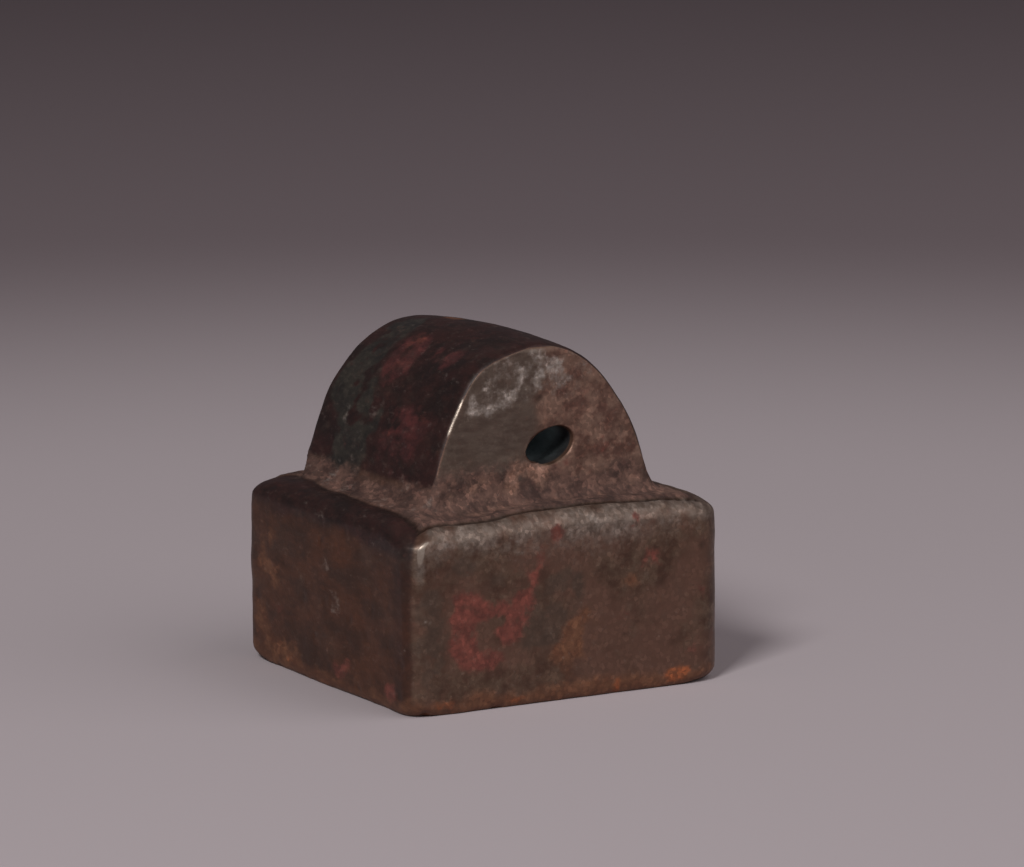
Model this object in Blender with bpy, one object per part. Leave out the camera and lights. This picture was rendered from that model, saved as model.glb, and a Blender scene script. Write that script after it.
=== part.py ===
# Small square bronze seal with an arched, pierced knob, cast in one piece.
# It stands on its sealing face. X runs along the wide front, Y along the cord hole, Z up,
# and the origin is the middle of the sealing face. All sizes are metres.

import math

import bmesh
import bpy

MM = 0.001

# The square block
BLOCK_WIDTH = 23.0 * MM
BLOCK_DEPTH = 23.2 * MM
BLOCK_HEIGHT = 12.0 * MM
WALL_CORNER_RADIUS = 2.1 * MM
RIM_ROUND_WIDTH = 1.5 * MM
RIM_ROUND_HEIGHT = 1.2 * MM
RIM_CORNER_RADIUS = 5.2 * MM
FOOT_ROUND_WIDTH = 0.35 * MM
FOOT_ROUND_HEIGHT = 0.9 * MM
FOOT_CORNER_RADIUS = 4.4 * MM

# The knob: an arch carried along Y, set in from the block's sides by its ledges
LEDGE_SIDE = 3.35 * MM
LEDGE_FRONT = 3.8 * MM
LEDGE_BACK = 2.75 * MM
KNOB_RISE = 10.0 * MM
ARCH_SINK = 1.7 * MM
ARCH_EDGE_ROUND = 0.5 * MM
FILLET_REACH = 1.05 * MM
FILLET_RISE = 1.5 * MM
RIDGE_BOW = 0.4 * MM

# The cord hole, an oval that runs through the knob from end to end
HOLE_WIDTH = 3.9 * MM
HOLE_HEIGHT = 2.6 * MM
HOLE_RISE = 3.55 * MM
HOLE_SHIFT = 0.75 * MM
HOLE_TILT = math.radians(14)

# The carved sealing face: a frame line round rows of plain strokes
CARVING_DEPTH = 0.7 * MM
FRAME_MARGIN = 1.9 * MM
FRAME_LINE = 0.6 * MM
FIELD_GAP = 0.9 * MM
STROKE_ROWS = 4
STROKES_IN_ROW = 6
STROKE_WIDTH = 0.9 * MM
ROW_GAP = 1.1 * MM
STROKE_SHORTENING = 0.45 * MM

# How finely the curves are faceted
CORNER_STEPS = 6
SIDE_STEPS = 6
ROUND_STEPS = 4
ARCH_STEPS = 16
HOLE_STEPS = 28

# The most of the narrowest flat ledge that the foot's fillet may take
FILLET_SHARE_OF_LEDGE = 0.95

# How far a cutter reaches past the surface it cuts
CUT_REACH = 1.0 * MM


def clear_scene():
    """Remove whatever the file opened with."""
    for thing in list(bpy.data.objects):
        bpy.data.objects.remove(thing, do_unlink=True)


def ring_points(half_x, half_y, radius, middle_y, height):
    """A rounded rectangle as a level loop, counter-clockwise from above.

    Each corner is a quarter circle, and each side after it is cut in equal steps.
    """
    radius = min(radius, half_x, half_y)
    signs = [(1, 1), (-1, 1), (-1, -1), (1, -1)]
    arcs = []
    for quarter, (sign_x, sign_y) in enumerate(signs):
        centre_x = sign_x * (half_x - radius)
        centre_y = middle_y + sign_y * (half_y - radius)
        arc = []
        for step in range(CORNER_STEPS + 1):
            angle = math.radians(90) * (quarter + step / CORNER_STEPS)
            arc.append((centre_x + radius * math.cos(angle), centre_y + radius * math.sin(angle)))
        arcs.append(arc)
    loop = []
    for quarter, arc in enumerate(arcs):
        start = arc[-1]
        end = arcs[(quarter + 1) % 4][0]
        loop.extend(arc)
        for step in range(1, SIDE_STEPS):
            share = step / SIDE_STEPS
            x = start[0] + share * (end[0] - start[0])
            y = start[1] + share * (end[1] - start[1])
            loop.append((x, y))
    return [(x, y, height) for x, y in loop]


def block_ring(inset, radius, height):
    """A loop of the block, pulled in by an inset."""
    return ring_points(BLOCK_WIDTH / 2 - inset, BLOCK_DEPTH / 2 - inset, radius, 0.0, height)


def knob_half_width(height):
    """Half the arch's width at a height: an ellipse whose centre is sunk below the ledge."""
    rise = (height - (BLOCK_HEIGHT - ARCH_SINK)) / (KNOB_RISE + ARCH_SINK)
    widest = BLOCK_WIDTH / 2 - LEDGE_SIDE
    return widest * math.sqrt(max(0.0, 1.0 - rise * rise))


def knob_ring(outset, height, pull=0.0):
    """A loop of the knob, pushed out by the foot's fillet and pulled in at its ends by the crown's round."""
    half_depth = (BLOCK_DEPTH - LEDGE_FRONT - LEDGE_BACK) / 2
    middle_y = (LEDGE_FRONT - LEDGE_BACK) / 2
    half_x = knob_half_width(height) + outset
    return ring_points(half_x, half_depth + outset - pull, ARCH_EDGE_ROUND + outset, middle_y, height)


def block_rings():
    """Loops from the sealing face up over the rim to the ledge."""
    rings = []
    for step in range(ROUND_STEPS + 1):
        angle = math.radians(90) * step / ROUND_STEPS
        share = 1 - math.sin(angle)
        radius = WALL_CORNER_RADIUS + (FOOT_CORNER_RADIUS - WALL_CORNER_RADIUS) * share
        rings.append(block_ring(FOOT_ROUND_WIDTH * share, radius, FOOT_ROUND_HEIGHT * (1 - math.cos(angle))))
    for step in range(ROUND_STEPS + 1):
        angle = math.radians(90) * step / ROUND_STEPS
        share = 1 - math.cos(angle)
        radius = WALL_CORNER_RADIUS + (RIM_CORNER_RADIUS - WALL_CORNER_RADIUS) * share
        height = BLOCK_HEIGHT - RIM_ROUND_HEIGHT * (1 - math.sin(angle))
        rings.append(block_ring(RIM_ROUND_WIDTH * share, radius, height))
    return rings


def knob_rings():
    """Loops up the foot's hollow fillet and the arch to its ridge, where the last loop is pinched flat."""
    narrowest_ledge = min(LEDGE_SIDE, LEDGE_FRONT, LEDGE_BACK)
    reach = min(FILLET_REACH, (narrowest_ledge - RIM_ROUND_WIDTH) * FILLET_SHARE_OF_LEDGE)
    rings = []
    for step in range(ROUND_STEPS):
        angle = math.radians(90) * step / ROUND_STEPS
        height = BLOCK_HEIGHT + FILLET_RISE * (1 - math.cos(angle))
        rings.append(knob_ring(reach * (1 - math.sin(angle)), height))
    centre = BLOCK_HEIGHT - ARCH_SINK
    rise = KNOB_RISE + ARCH_SINK
    first = math.asin((ARCH_SINK + FILLET_RISE) / rise)
    for step in range(ARCH_STEPS + 1):
        angle = first + (math.radians(90) - first) * step / ARCH_STEPS
        height = centre + rise * math.sin(angle)
        depth_in_round = max(0.0, ARCH_EDGE_ROUND - (centre + rise - height))
        pull = ARCH_EDGE_ROUND - math.sqrt(ARCH_EDGE_ROUND ** 2 - depth_in_round ** 2)
        rings.append(knob_ring(0.0, height, pull))
    return rings


def bow_ridge(mesh):
    """Lift the knob a little along the middle of its length, most at the ridge."""
    half_depth = (BLOCK_DEPTH - LEDGE_FRONT - LEDGE_BACK) / 2
    middle_y = (LEDGE_FRONT - LEDGE_BACK) / 2
    for vert in mesh.verts:
        rise = (vert.co.z - BLOCK_HEIGHT) / KNOB_RISE
        along = (vert.co.y - middle_y) / half_depth
        if rise > 0 and abs(along) < 1:
            vert.co.z += RIDGE_BOW * rise ** 2 * (1 - along ** 2)


def loft(rings):
    """Join loops of equal length into one closed skin: flat below, pinched shut above."""
    mesh = bmesh.new()
    loops = [[mesh.verts.new(point) for point in ring] for ring in rings]
    count = len(loops[0])
    for lower, upper in zip(loops, loops[1:]):
        for here in range(count):
            after = (here + 1) % count
            mesh.faces.new((lower[here], lower[after], upper[after], upper[here]))
    mesh.faces.new(list(reversed(loops[0])))
    bmesh.ops.remove_doubles(mesh, verts=mesh.verts, dist=0.001 * MM)
    return mesh


def add_object(name, mesh):
    """Put a bmesh into the scene as a named object."""
    data = bpy.data.meshes.new(name)
    mesh.to_mesh(data)
    mesh.free()
    thing = bpy.data.objects.new(name, data)
    bpy.context.scene.collection.objects.link(thing)
    return thing


def as_cutter(thing):
    """Mark an object as a cutter, which is not part of the seal."""
    thing.hide_render = True
    thing.display_type = "WIRE"
    return thing


def cut(body, cutter):
    """Take a cutter's space out of the body."""
    step = body.modifiers.new(cutter.name, "BOOLEAN")
    step.operation = "DIFFERENCE"
    step.object = cutter


def make_hole_cutter():
    """An oval rod along Y through both ends of the knob."""
    mesh = bmesh.new()
    front = -BLOCK_DEPTH / 2 - CUT_REACH
    back = BLOCK_DEPTH / 2 + CUT_REACH
    centre_z = BLOCK_HEIGHT + HOLE_RISE
    loops = []
    for y in (front, back):
        loop = []
        for step in range(HOLE_STEPS):
            angle = math.radians(360) * step / HOLE_STEPS
            wide = HOLE_WIDTH / 2 * math.cos(angle)
            high = HOLE_HEIGHT / 2 * math.sin(angle)
            x = HOLE_SHIFT + wide * math.cos(HOLE_TILT) - high * math.sin(HOLE_TILT)
            z = centre_z + wide * math.sin(HOLE_TILT) + high * math.cos(HOLE_TILT)
            loop.append(mesh.verts.new((x, y, z)))
        loops.append(loop)
    mesh.faces.new(loops[0])
    mesh.faces.new(list(reversed(loops[1])))
    for here in range(HOLE_STEPS):
        after = (here + 1) % HOLE_STEPS
        mesh.faces.new((loops[0][after], loops[0][here], loops[1][here], loops[1][after]))
    return as_cutter(add_object("cord_hole_cutter", mesh))


def add_sunk_box(mesh, low_x, high_x, low_y, high_y):
    """A box from just below the sealing face up to the carving's depth."""
    made = bmesh.ops.create_cube(mesh, size=1.0)["verts"]
    height = CARVING_DEPTH + CUT_REACH
    for vert in made:
        vert.co.x = (low_x + high_x) / 2 + vert.co.x * (high_x - low_x)
        vert.co.y = (low_y + high_y) / 2 + vert.co.y * (high_y - low_y)
        vert.co.z = CARVING_DEPTH - height / 2 + vert.co.z * height


def make_frame_cutter():
    """The square frame line, as a box ring."""
    outer_x = BLOCK_WIDTH / 2 - FRAME_MARGIN
    outer_y = BLOCK_DEPTH / 2 - FRAME_MARGIN
    mesh = bmesh.new()
    corners = [(1, 1), (-1, 1), (-1, -1), (1, -1)]
    loops = []
    for height in (-CUT_REACH, CARVING_DEPTH):
        for inset in (0.0, FRAME_LINE):
            half_x = outer_x - inset
            half_y = outer_y - inset
            loops.append([mesh.verts.new((sx * half_x, sy * half_y, height)) for sx, sy in corners])
    low_outer, low_inner, high_outer, high_inner = loops
    for here in range(4):
        after = (here + 1) % 4
        mesh.faces.new((low_outer[here], low_outer[after], high_outer[after], high_outer[here]))
        mesh.faces.new((low_inner[after], low_inner[here], high_inner[here], high_inner[after]))
        mesh.faces.new((high_outer[here], high_outer[after], high_inner[after], high_inner[here]))
        mesh.faces.new((low_outer[after], low_outer[here], low_inner[here], low_inner[after]))
    return as_cutter(add_object("frame_line_cutter", mesh))


def make_stroke_cutter():
    """Rows of short upright strokes of uneven length inside the frame line."""
    mesh = bmesh.new()
    half_x = BLOCK_WIDTH / 2 - FRAME_MARGIN - FRAME_LINE - FIELD_GAP
    half_y = BLOCK_DEPTH / 2 - FRAME_MARGIN - FRAME_LINE - FIELD_GAP
    row_height = (2 * half_y - ROW_GAP * (STROKE_ROWS - 1)) / STROKE_ROWS
    stroke_pitch = (2 * half_x - STROKE_WIDTH) / (STROKES_IN_ROW - 1)
    for row in range(STROKE_ROWS):
        low_y = -half_y + row * (row_height + ROW_GAP)
        for column in range(STROKES_IN_ROW):
            low_x = -half_x + column * stroke_pitch
            short_below = STROKE_SHORTENING * ((2 * row + 3 * column) % 3)
            short_above = STROKE_SHORTENING * ((row + 2 * column) % 3)
            high_y = low_y + row_height - short_above
            add_sunk_box(mesh, low_x, low_x + STROKE_WIDTH, low_y + short_below, high_y)
    return as_cutter(add_object("stroke_cutter", mesh))


def bronze():
    """Old cast bronze: dark brown patina that still shines a little where it is worn."""
    material = bpy.data.materials.new("patinated_bronze")
    material.use_nodes = True
    shader = material.node_tree.nodes["Principled BSDF"]
    shader.inputs["Base Color"].default_value = (0.075, 0.045, 0.035, 1.0)
    shader.inputs["Metallic"].default_value = 0.8
    shader.inputs["Roughness"].default_value = 0.45
    return material


def make_seal():
    """The one cast piece: block, knob, cord hole and carved sealing face."""
    mesh = loft(block_rings() + knob_rings())
    bow_ridge(mesh)
    seal = add_object("seal", mesh)
    seal.data.materials.append(bronze())
    seal.data.shade_smooth()
    seal.data.set_sharp_from_angle(angle=math.radians(35))
    for cutter in (make_hole_cutter(), make_frame_cutter(), make_stroke_cutter()):
        cut(seal, cutter)
    return seal


clear_scene()
make_seal()
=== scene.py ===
# %% [markdown]
# A small bronze seal, step by step.
# The real thing is a square block of cast bronze with an arched knob, an oval hole for a cord and a
# carved face below. It was made in one casting, then worn by hands and stained by long burial.
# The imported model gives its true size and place. This script gives it its skin: one fine mesh, its
# relief, and the patina. It works in millimetres and turns to metres only when a mesh is made.

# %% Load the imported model
import math

import bpy
import numpy as np
from mathutils import Matrix, Vector


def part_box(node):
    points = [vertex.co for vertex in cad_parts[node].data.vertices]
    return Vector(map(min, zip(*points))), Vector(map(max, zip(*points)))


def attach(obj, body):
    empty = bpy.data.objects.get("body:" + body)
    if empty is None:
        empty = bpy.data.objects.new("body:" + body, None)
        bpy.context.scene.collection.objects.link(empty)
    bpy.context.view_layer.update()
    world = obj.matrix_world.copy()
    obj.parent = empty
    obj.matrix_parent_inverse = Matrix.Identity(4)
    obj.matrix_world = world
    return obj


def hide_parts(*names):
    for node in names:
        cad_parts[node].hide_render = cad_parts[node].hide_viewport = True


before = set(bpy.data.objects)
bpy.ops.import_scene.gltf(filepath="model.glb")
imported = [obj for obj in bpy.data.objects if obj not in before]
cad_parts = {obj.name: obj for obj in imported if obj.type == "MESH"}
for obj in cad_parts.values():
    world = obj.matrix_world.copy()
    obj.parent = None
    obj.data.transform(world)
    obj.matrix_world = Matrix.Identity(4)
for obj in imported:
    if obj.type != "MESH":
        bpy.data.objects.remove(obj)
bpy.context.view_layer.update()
MM = 0.001
cad_low, cad_high = [np.array(corner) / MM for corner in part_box("seal")]
print("seal from", cad_low.round(2), "to", cad_high.round(2), "mm")

# %% [markdown]
# The seal's plain sizes. The block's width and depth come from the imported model. The rest are the
# sizes a founder would give: how far the knob is set in, how the rim and the foot are rounded, how the
# arch rises and where the cord goes through.

# %% Sizes of the block, the knob and the hole
BLOCK_WIDTH = cad_high[0] - cad_low[0]
BLOCK_DEPTH = cad_high[1] - cad_low[1]
BLOCK_HEIGHT = 12.0
WALL_CORNER_RADIUS = 2.1
RIM_ROUND_WIDTH = 1.5
RIM_ROUND_HEIGHT = 1.2
RIM_CORNER_RADIUS = 5.2
FOOT_ROUND_WIDTH = 0.35
FOOT_ROUND_HEIGHT = 0.9
FOOT_CORNER_RADIUS = 4.4

LEDGE_SIDE = 3.35
LEDGE_FRONT = 3.8
LEDGE_BACK = 2.75
KNOB_RISE = 10.0
ARCH_SINK = 1.7
CROWN_ROUND = 0.5
FILLET_REACH = 1.05
FILLET_RISE = 1.5
TOE_ROUND = 1.4
RIDGE_BOW = 0.4

HOLE_WIDTH = 3.4
HOLE_HEIGHT = 2.2
HOLE_CENTRE = (0.75, 15.55)
HOLE_TILT = math.radians(19)

KNOB_HALF_WIDTH = BLOCK_WIDTH / 2 - LEDGE_SIDE
KNOB_HALF_DEPTH = (BLOCK_DEPTH - LEDGE_FRONT - LEDGE_BACK) / 2
KNOB_MIDDLE_Y = (LEDGE_FRONT - LEDGE_BACK) / 2
ARCH_CENTRE = BLOCK_HEIGHT - ARCH_SINK
ARCH_RISE = KNOB_RISE + ARCH_SINK
print("knob", 2 * KNOB_HALF_WIDTH, "x", 2 * KNOB_HALF_DEPTH, "mm at its foot")

# %% [markdown]
# The sealing face. Its carving is hidden in the photo, so it holds a frame line round rows of short
# plain strokes, cut where the solid has them. The strokes are worked out here first, because the
# mesh's lines are laid to follow their edges: a cut wall is only crisp where lines run along it.

# %% Where the strokes are cut
CARVING_DEPTH = 0.7
FRAME_MARGIN = 1.9
FRAME_LINE = 0.6
FIELD_GAP = 0.9
STROKE_ROWS = 4
STROKES_IN_ROW = 6
STROKE_WIDTH = 0.9
ROW_GAP = 1.1
STROKE_SHORTENING = 0.45

frame_x = BLOCK_WIDTH / 2 - FRAME_MARGIN
frame_y = BLOCK_DEPTH / 2 - FRAME_MARGIN
field_x = frame_x - FRAME_LINE - FIELD_GAP
field_y = frame_y - FRAME_LINE - FIELD_GAP


def stroke_boxes():
    """Low x, high x, low y and high y of every stroke.

    Columns are one pitch apart. Each stroke loses 0, 1 or 2 shortenings at each end, by the
    remainder of its row and column numbers.
    """
    row, column = np.divmod(np.arange(STROKE_ROWS * STROKES_IN_ROW), STROKES_IN_ROW)
    row_height = (2 * field_y - ROW_GAP * (STROKE_ROWS - 1)) / STROKE_ROWS
    pitch = (2 * field_x - STROKE_WIDTH) / (STROKES_IN_ROW - 1)
    low_x = -field_x + column * pitch
    row_start = -field_y + row * (row_height + ROW_GAP)
    low_y = row_start + STROKE_SHORTENING * ((2 * row + 3 * column) % 3)
    high_y = row_start + row_height - STROKE_SHORTENING * ((row + 2 * column) % 3)
    return low_x, low_x + STROKE_WIDTH, low_y, high_y


strokes = stroke_boxes()
print(len(strokes[0]), "strokes of", STROKE_WIDTH, "mm")

# %% [markdown]
# The skin is one grid. Picture a square loop of points round the seal, stacked in rows from the foot to
# the ridge. Every row is the same loop, drawn to another size and with another corner radius: wide
# for the block, pulled in over the rim, and narrowed to nothing at the ridge of the arch.

# %% Lines of the grid
SIDE_CELLS = 112
EDGE_SPREAD = 0.06


def lines_along(edges, half):
    """Even lines from -1 to 1, where the two lines next to each cut edge stand just before and after it."""
    lines = np.linspace(-1.0, 1.0, SIDE_CELLS + 1)
    for edge in np.unique(np.round(edges, 6)):
        after = np.searchsorted(lines, edge / half)
        lines[after - 1] = (edge - EDGE_SPREAD) / half
        lines[after] = (edge + EDGE_SPREAD) / half
    return lines


sole_x = BLOCK_WIDTH / 2 - FOOT_ROUND_WIDTH
sole_y = BLOCK_DEPTH / 2 - FOOT_ROUND_WIDTH
frame_edges_x = [frame_x, frame_x - FRAME_LINE, FRAME_LINE - frame_x, -frame_x]
frame_edges_y = [frame_y, frame_y - FRAME_LINE, FRAME_LINE - frame_y, -frame_y]
lines_x = lines_along(np.concatenate([frame_edges_x, strokes[0], strokes[1]]), sole_x)
lines_y = lines_along(np.concatenate([frame_edges_y, strokes[2], strokes[3]]), sole_y)

ones = np.ones(SIDE_CELLS)
loop_x = np.concatenate([ones, lines_x[:0:-1], -ones, lines_x[:-1]])
loop_y = np.concatenate([lines_y[:-1], ones, lines_y[:0:-1], -ones])
print("one loop has", len(loop_x), "points, and its lines rise:", bool(np.all(np.diff(lines_x) > 0)))

# %% [markdown]
# A rounded corner is made by bending the square loop. Within one radius of a corner the point slides
# on to a quarter circle, and how far it has gone along the corner's straight sides gives its angle.

# %% Round the corners of a loop


def round_corners(x, y, half_x, half_y, radius):
    """Bend the corners of rectangular loops on to quarter circles.

    With dx and dy from 0 to 1 across the corner's square, the angle is 45 degrees times dy on the
    first half and 90 degrees less 45 degrees times dx on the second.
    """
    radius = np.maximum(np.minimum(radius, np.minimum(half_x, half_y)), 1e-9)
    dx = np.clip((np.abs(x) - half_x + radius) / radius, 0, 1)
    dy = np.clip((np.abs(y) - half_y + radius) / radius, 0, 1)
    angle = np.where(dx >= dy, math.pi / 4 * dy, math.pi / 2 - math.pi / 4 * dx)
    in_corner = (dx > 0) & (dy > 0)
    arc_x = np.sign(x) * (half_x - radius + radius * np.cos(angle))
    arc_y = np.sign(y) * (half_y - radius + radius * np.sin(angle))
    return np.where(in_corner, arc_x, x), np.where(in_corner, arc_y, y)


def soft_step(value, low, high):
    """0 below low, 1 above high, and the curve 3t^2 - 2t^3 between."""
    t = np.clip((value - low) / (high - low), 0, 1)
    return t * t * (3 - 2 * t)


# %% [markdown]
# Now the rows. Each needs five numbers: half width, half depth, corner radius, where its middle lies
# along Y, and its height. Rounds and fillets follow quarter ellipses, and the arch follows an ellipse
# whose centre is sunk a little below the ledge.

# %% Rows from the foot to the ridge
FOOT_ROWS = 8
WALL_ROWS = 48
RIM_ROWS = 12
LEDGE_ROWS = 8
FILLET_ROWS = 11
ARCH_ROWS = 84


def rows_of(half_x, half_y, radius, middle_y, height):
    """Stack the five numbers of each row."""
    return np.stack(np.broadcast_arrays(half_x, half_y, radius, middle_y, height), axis=1)


def quarter(count):
    """Angles from 0 to 90 degrees in equal steps."""
    return np.radians(90) * np.arange(count + 1) / count


def block_rows(inset, radius, height):
    """Rows of the block, pulled in all round by an inset."""
    return rows_of(BLOCK_WIDTH / 2 - inset, BLOCK_DEPTH / 2 - inset, radius, 0.0, height)


def knob_rows(outset, height, pull=0.0):
    """Rows of the knob: an ellipse across, pushed out by the fillet and pulled in at the crown's ends."""
    rise = (height - ARCH_CENTRE) / ARCH_RISE
    half_x = KNOB_HALF_WIDTH * np.sqrt(np.maximum(0, 1 - rise ** 2)) + outset
    half_y = KNOB_HALF_DEPTH + outset - pull
    return rows_of(half_x, half_y, CROWN_ROUND + TOE_ROUND * outset, KNOB_MIDDLE_Y, height)


turn = quarter(FOOT_ROWS)
share = 1 - np.sin(turn)
foot = block_rows(
    FOOT_ROUND_WIDTH * share,
    WALL_CORNER_RADIUS + (FOOT_CORNER_RADIUS - WALL_CORNER_RADIUS) * share,
    FOOT_ROUND_HEIGHT * (1 - np.cos(turn)),
)
wall_heights = np.linspace(FOOT_ROUND_HEIGHT, BLOCK_HEIGHT - RIM_ROUND_HEIGHT, WALL_ROWS + 1)[1:-1]
wall = block_rows(0.0, WALL_CORNER_RADIUS, wall_heights)
turn = quarter(RIM_ROWS)
share = 1 - np.cos(turn)
rim = block_rows(
    RIM_ROUND_WIDTH * share,
    WALL_CORNER_RADIUS + (RIM_CORNER_RADIUS - WALL_CORNER_RADIUS) * share,
    BLOCK_HEIGHT - RIM_ROUND_HEIGHT * (1 - np.sin(turn)),
)
turn = quarter(FILLET_ROWS)[:-1]
fillet = knob_rows(FILLET_REACH * (1 - np.sin(turn)), BLOCK_HEIGHT + FILLET_RISE * (1 - np.cos(turn)))
across = np.linspace(0, 1, LEDGE_ROWS + 1)[1:-1, None]
ledge = rim[-1] + across * (fillet[0] - rim[-1])
turn = np.linspace(math.asin((ARCH_SINK + FILLET_RISE) / ARCH_RISE), math.pi / 2, ARCH_ROWS + 1)
arch_heights = ARCH_CENTRE + ARCH_RISE * np.sin(turn)
into_round = np.maximum(0, CROWN_ROUND - (ARCH_CENTRE + ARCH_RISE - arch_heights))
arch = knob_rows(0.0, arch_heights, CROWN_ROUND - np.sqrt(CROWN_ROUND ** 2 - into_round ** 2))
rows = np.concatenate([foot, wall, rim, ledge, fillet, arch])
print(len(rows), "rows, the highest at", rows[-1, 4].round(2), "mm")

# %% [markdown]
# A casting that was handled for years isn't regular. The corner nearest the viewer is sharp at the foot
# and worn round at the rim, the ridge bows up a little, and one shoulder of the arch is fuller at the
# front. The front rim dips at its left and swells in its middle. These departures are gentle bulges,
# each faded out with a soft step or a bell curve.

# %% Place every row, with the departures of the real casting
CORNER_WEAR_FOOT = 0.55
CORNER_WEAR_RIM = 0.7
SHOULDER_BULGE = 0.45
RIM_WEAR = 0.14
RIM_WEAR_START = 9.0
RIM_DIP = 0.3
CORNER_DIP = 0.45
RIM_SWELL = 0.16
LAST_RIM_ROW = len(foot) + len(wall) + len(rim) - 1
ROW_STEP_BACK = 0.012


def bell(value, centre, width):
    """The bell curve: e to the power of minus the square of the distance over the width."""
    return np.exp(-((value - centre) / width) ** 2)


def between(value, low, high, rise, fall):
    """A soft step up from low to high, times a soft step down from rise to fall."""
    return soft_step(value, low, high) * (1 - soft_step(value, rise, fall))


def hold_behind_rim(x, y, corner_x, corner_y, rim_radius):
    """Keep the rows behind the rim inside its last loop, each row one small step deeper than the last.

    What a point has past the corner's centre is scaled down where it is longer than the radius allows.
    """
    behind = np.clip(np.arange(len(rows)) - LAST_RIM_ROW, 0, LEDGE_ROWS + FILLET_ROWS)[:, None]
    past_x = np.maximum(np.abs(x) - corner_x, 0)
    past_y = np.maximum(np.abs(y) - corner_y, 0)
    allowed = rim_radius - ROW_STEP_BACK * behind
    share = np.minimum(1, allowed / np.maximum(np.hypot(past_x, past_y), 1e-9))
    cut = (behind > 0) * (1 - share)
    return x - np.sign(x) * past_x * cut, y - np.sign(y) * past_y * cut


def place_rows():
    """Points of every row: the square loop at its row's size, bent at its corners and moved to its place."""
    half_x, half_y, radius, middle_y, height = (rows[:, k:k + 1] for k in range(5))
    near_corner = (loop_x < 0) & (loop_y < 0)
    # The wear fades out across the ledge, so that no two rows run into each other.
    outer = np.clip((half_y - fillet[0, 1]) / (rim[-1, 1] - fillet[0, 1]), 0, 1)
    worn = CORNER_WEAR_FOOT + (CORNER_WEAR_RIM - CORNER_WEAR_FOOT) * soft_step(height, 0, BLOCK_HEIGHT)
    radius = radius * np.where(near_corner, 1 + (worn - 1) * outer, 1.0)
    rubbed = RIM_WEAR * np.clip((height - RIM_WEAR_START) / (BLOCK_HEIGHT - RIM_WEAR_START), 0, 1) ** 2
    rubbed = rubbed * outer
    half_x, half_y = half_x - rubbed, half_y - rubbed
    x, y = round_corners(loop_x * half_x, loop_y * half_y, half_x, half_y, radius)
    rim_radius = radius[LAST_RIM_ROW]
    corner_x, corner_y = half_x[LAST_RIM_ROW] - rim_radius, half_y[LAST_RIM_ROW] - rim_radius
    x, y = hold_behind_rim(x, y + middle_y, corner_x, corner_y, rim_radius)
    return np.stack([x, y, np.broadcast_to(height, x.shape)], axis=2)


def bulge_knob(points):
    """Bow the ridge upward along its middle, and swell the front left shoulder of the arch outward."""
    x, y, z = np.moveaxis(points, 2, 0)
    rise = np.clip((z - BLOCK_HEIGHT) / KNOB_RISE, 0, 1)
    along = np.clip((y - KNOB_MIDDLE_Y) / KNOB_HALF_DEPTH, -1, 1)
    turn = np.arctan2((z - ARCH_CENTRE) / ARCH_RISE, x / KNOB_HALF_WIDTH)
    shoulder = bell(turn, math.radians(122), math.radians(13))
    swell = SHOULDER_BULGE * shoulder * soft_step(-along, 0.1, 0.95) * (rise > 0)
    bow = RIDGE_BOW * rise ** 2 * (1 - along ** 2)
    return np.stack([x + swell * np.cos(turn), y, z + bow + swell * np.sin(turn)], axis=2)


def wave_rim(points):
    """Let the top of the block dip at the left of its front and swell in the middle of it."""
    x, y, z = np.moveaxis(points, 2, 0)
    front = soft_step(-y, 7.9, 9.6) * between(z, 9.5, 11.8, 12.2, 13.2)
    wave = RIM_SWELL * bell(x, 1.0, 3.2) - RIM_DIP * bell(x, -6.6, 2.6)
    wave = wave - CORNER_DIP * bell(x, -11.2, 1.3)
    return np.stack([x, y, z + wave * front], axis=2)


points = wave_rim(bulge_knob(place_rows()))
print("grid of", points.shape[0], "by", points.shape[1], "points")

# %% [markdown]
# The cord hole goes through two opposite faces of the grid. A block of cells is left out of each, the
# points round it are drawn on to an oval, and a tube of new points joins the two ovals. Because the
# neighbours are drawn along too, the cells stay even and no cut with a second solid is needed.

# %% Open the grid for the cord hole
HOLE_FADE = 1.7
HOLE_FADE_UP = 0.2

hole_row = int(np.argmin(np.abs(rows[:, 4] - HOLE_CENTRE[1])))
hole_column = int(np.argmin(np.abs(lines_x * rows[hole_row, 0] - HOLE_CENTRE[0])))
row_step = rows[hole_row + 1, 4] - rows[hole_row, 4]
column_step = 2 * rows[hole_row, 0] / SIDE_CELLS
cells_up = round(HOLE_HEIGHT / 2 / row_step)
cells_across = round(HOLE_WIDTH / 2 / column_step)


def oval(angle):
    """A point of the hole's outline: a tilted ellipse about its centre."""
    wide = HOLE_WIDTH / 2 * np.cos(angle)
    high = HOLE_HEIGHT / 2 * np.sin(angle)
    x = HOLE_CENTRE[0] + wide * math.cos(HOLE_TILT) - high * math.sin(HOLE_TILT)
    z = HOLE_CENTRE[1] + wide * math.sin(HOLE_TILT) + high * math.cos(HOLE_TILT)
    return x, z


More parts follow.
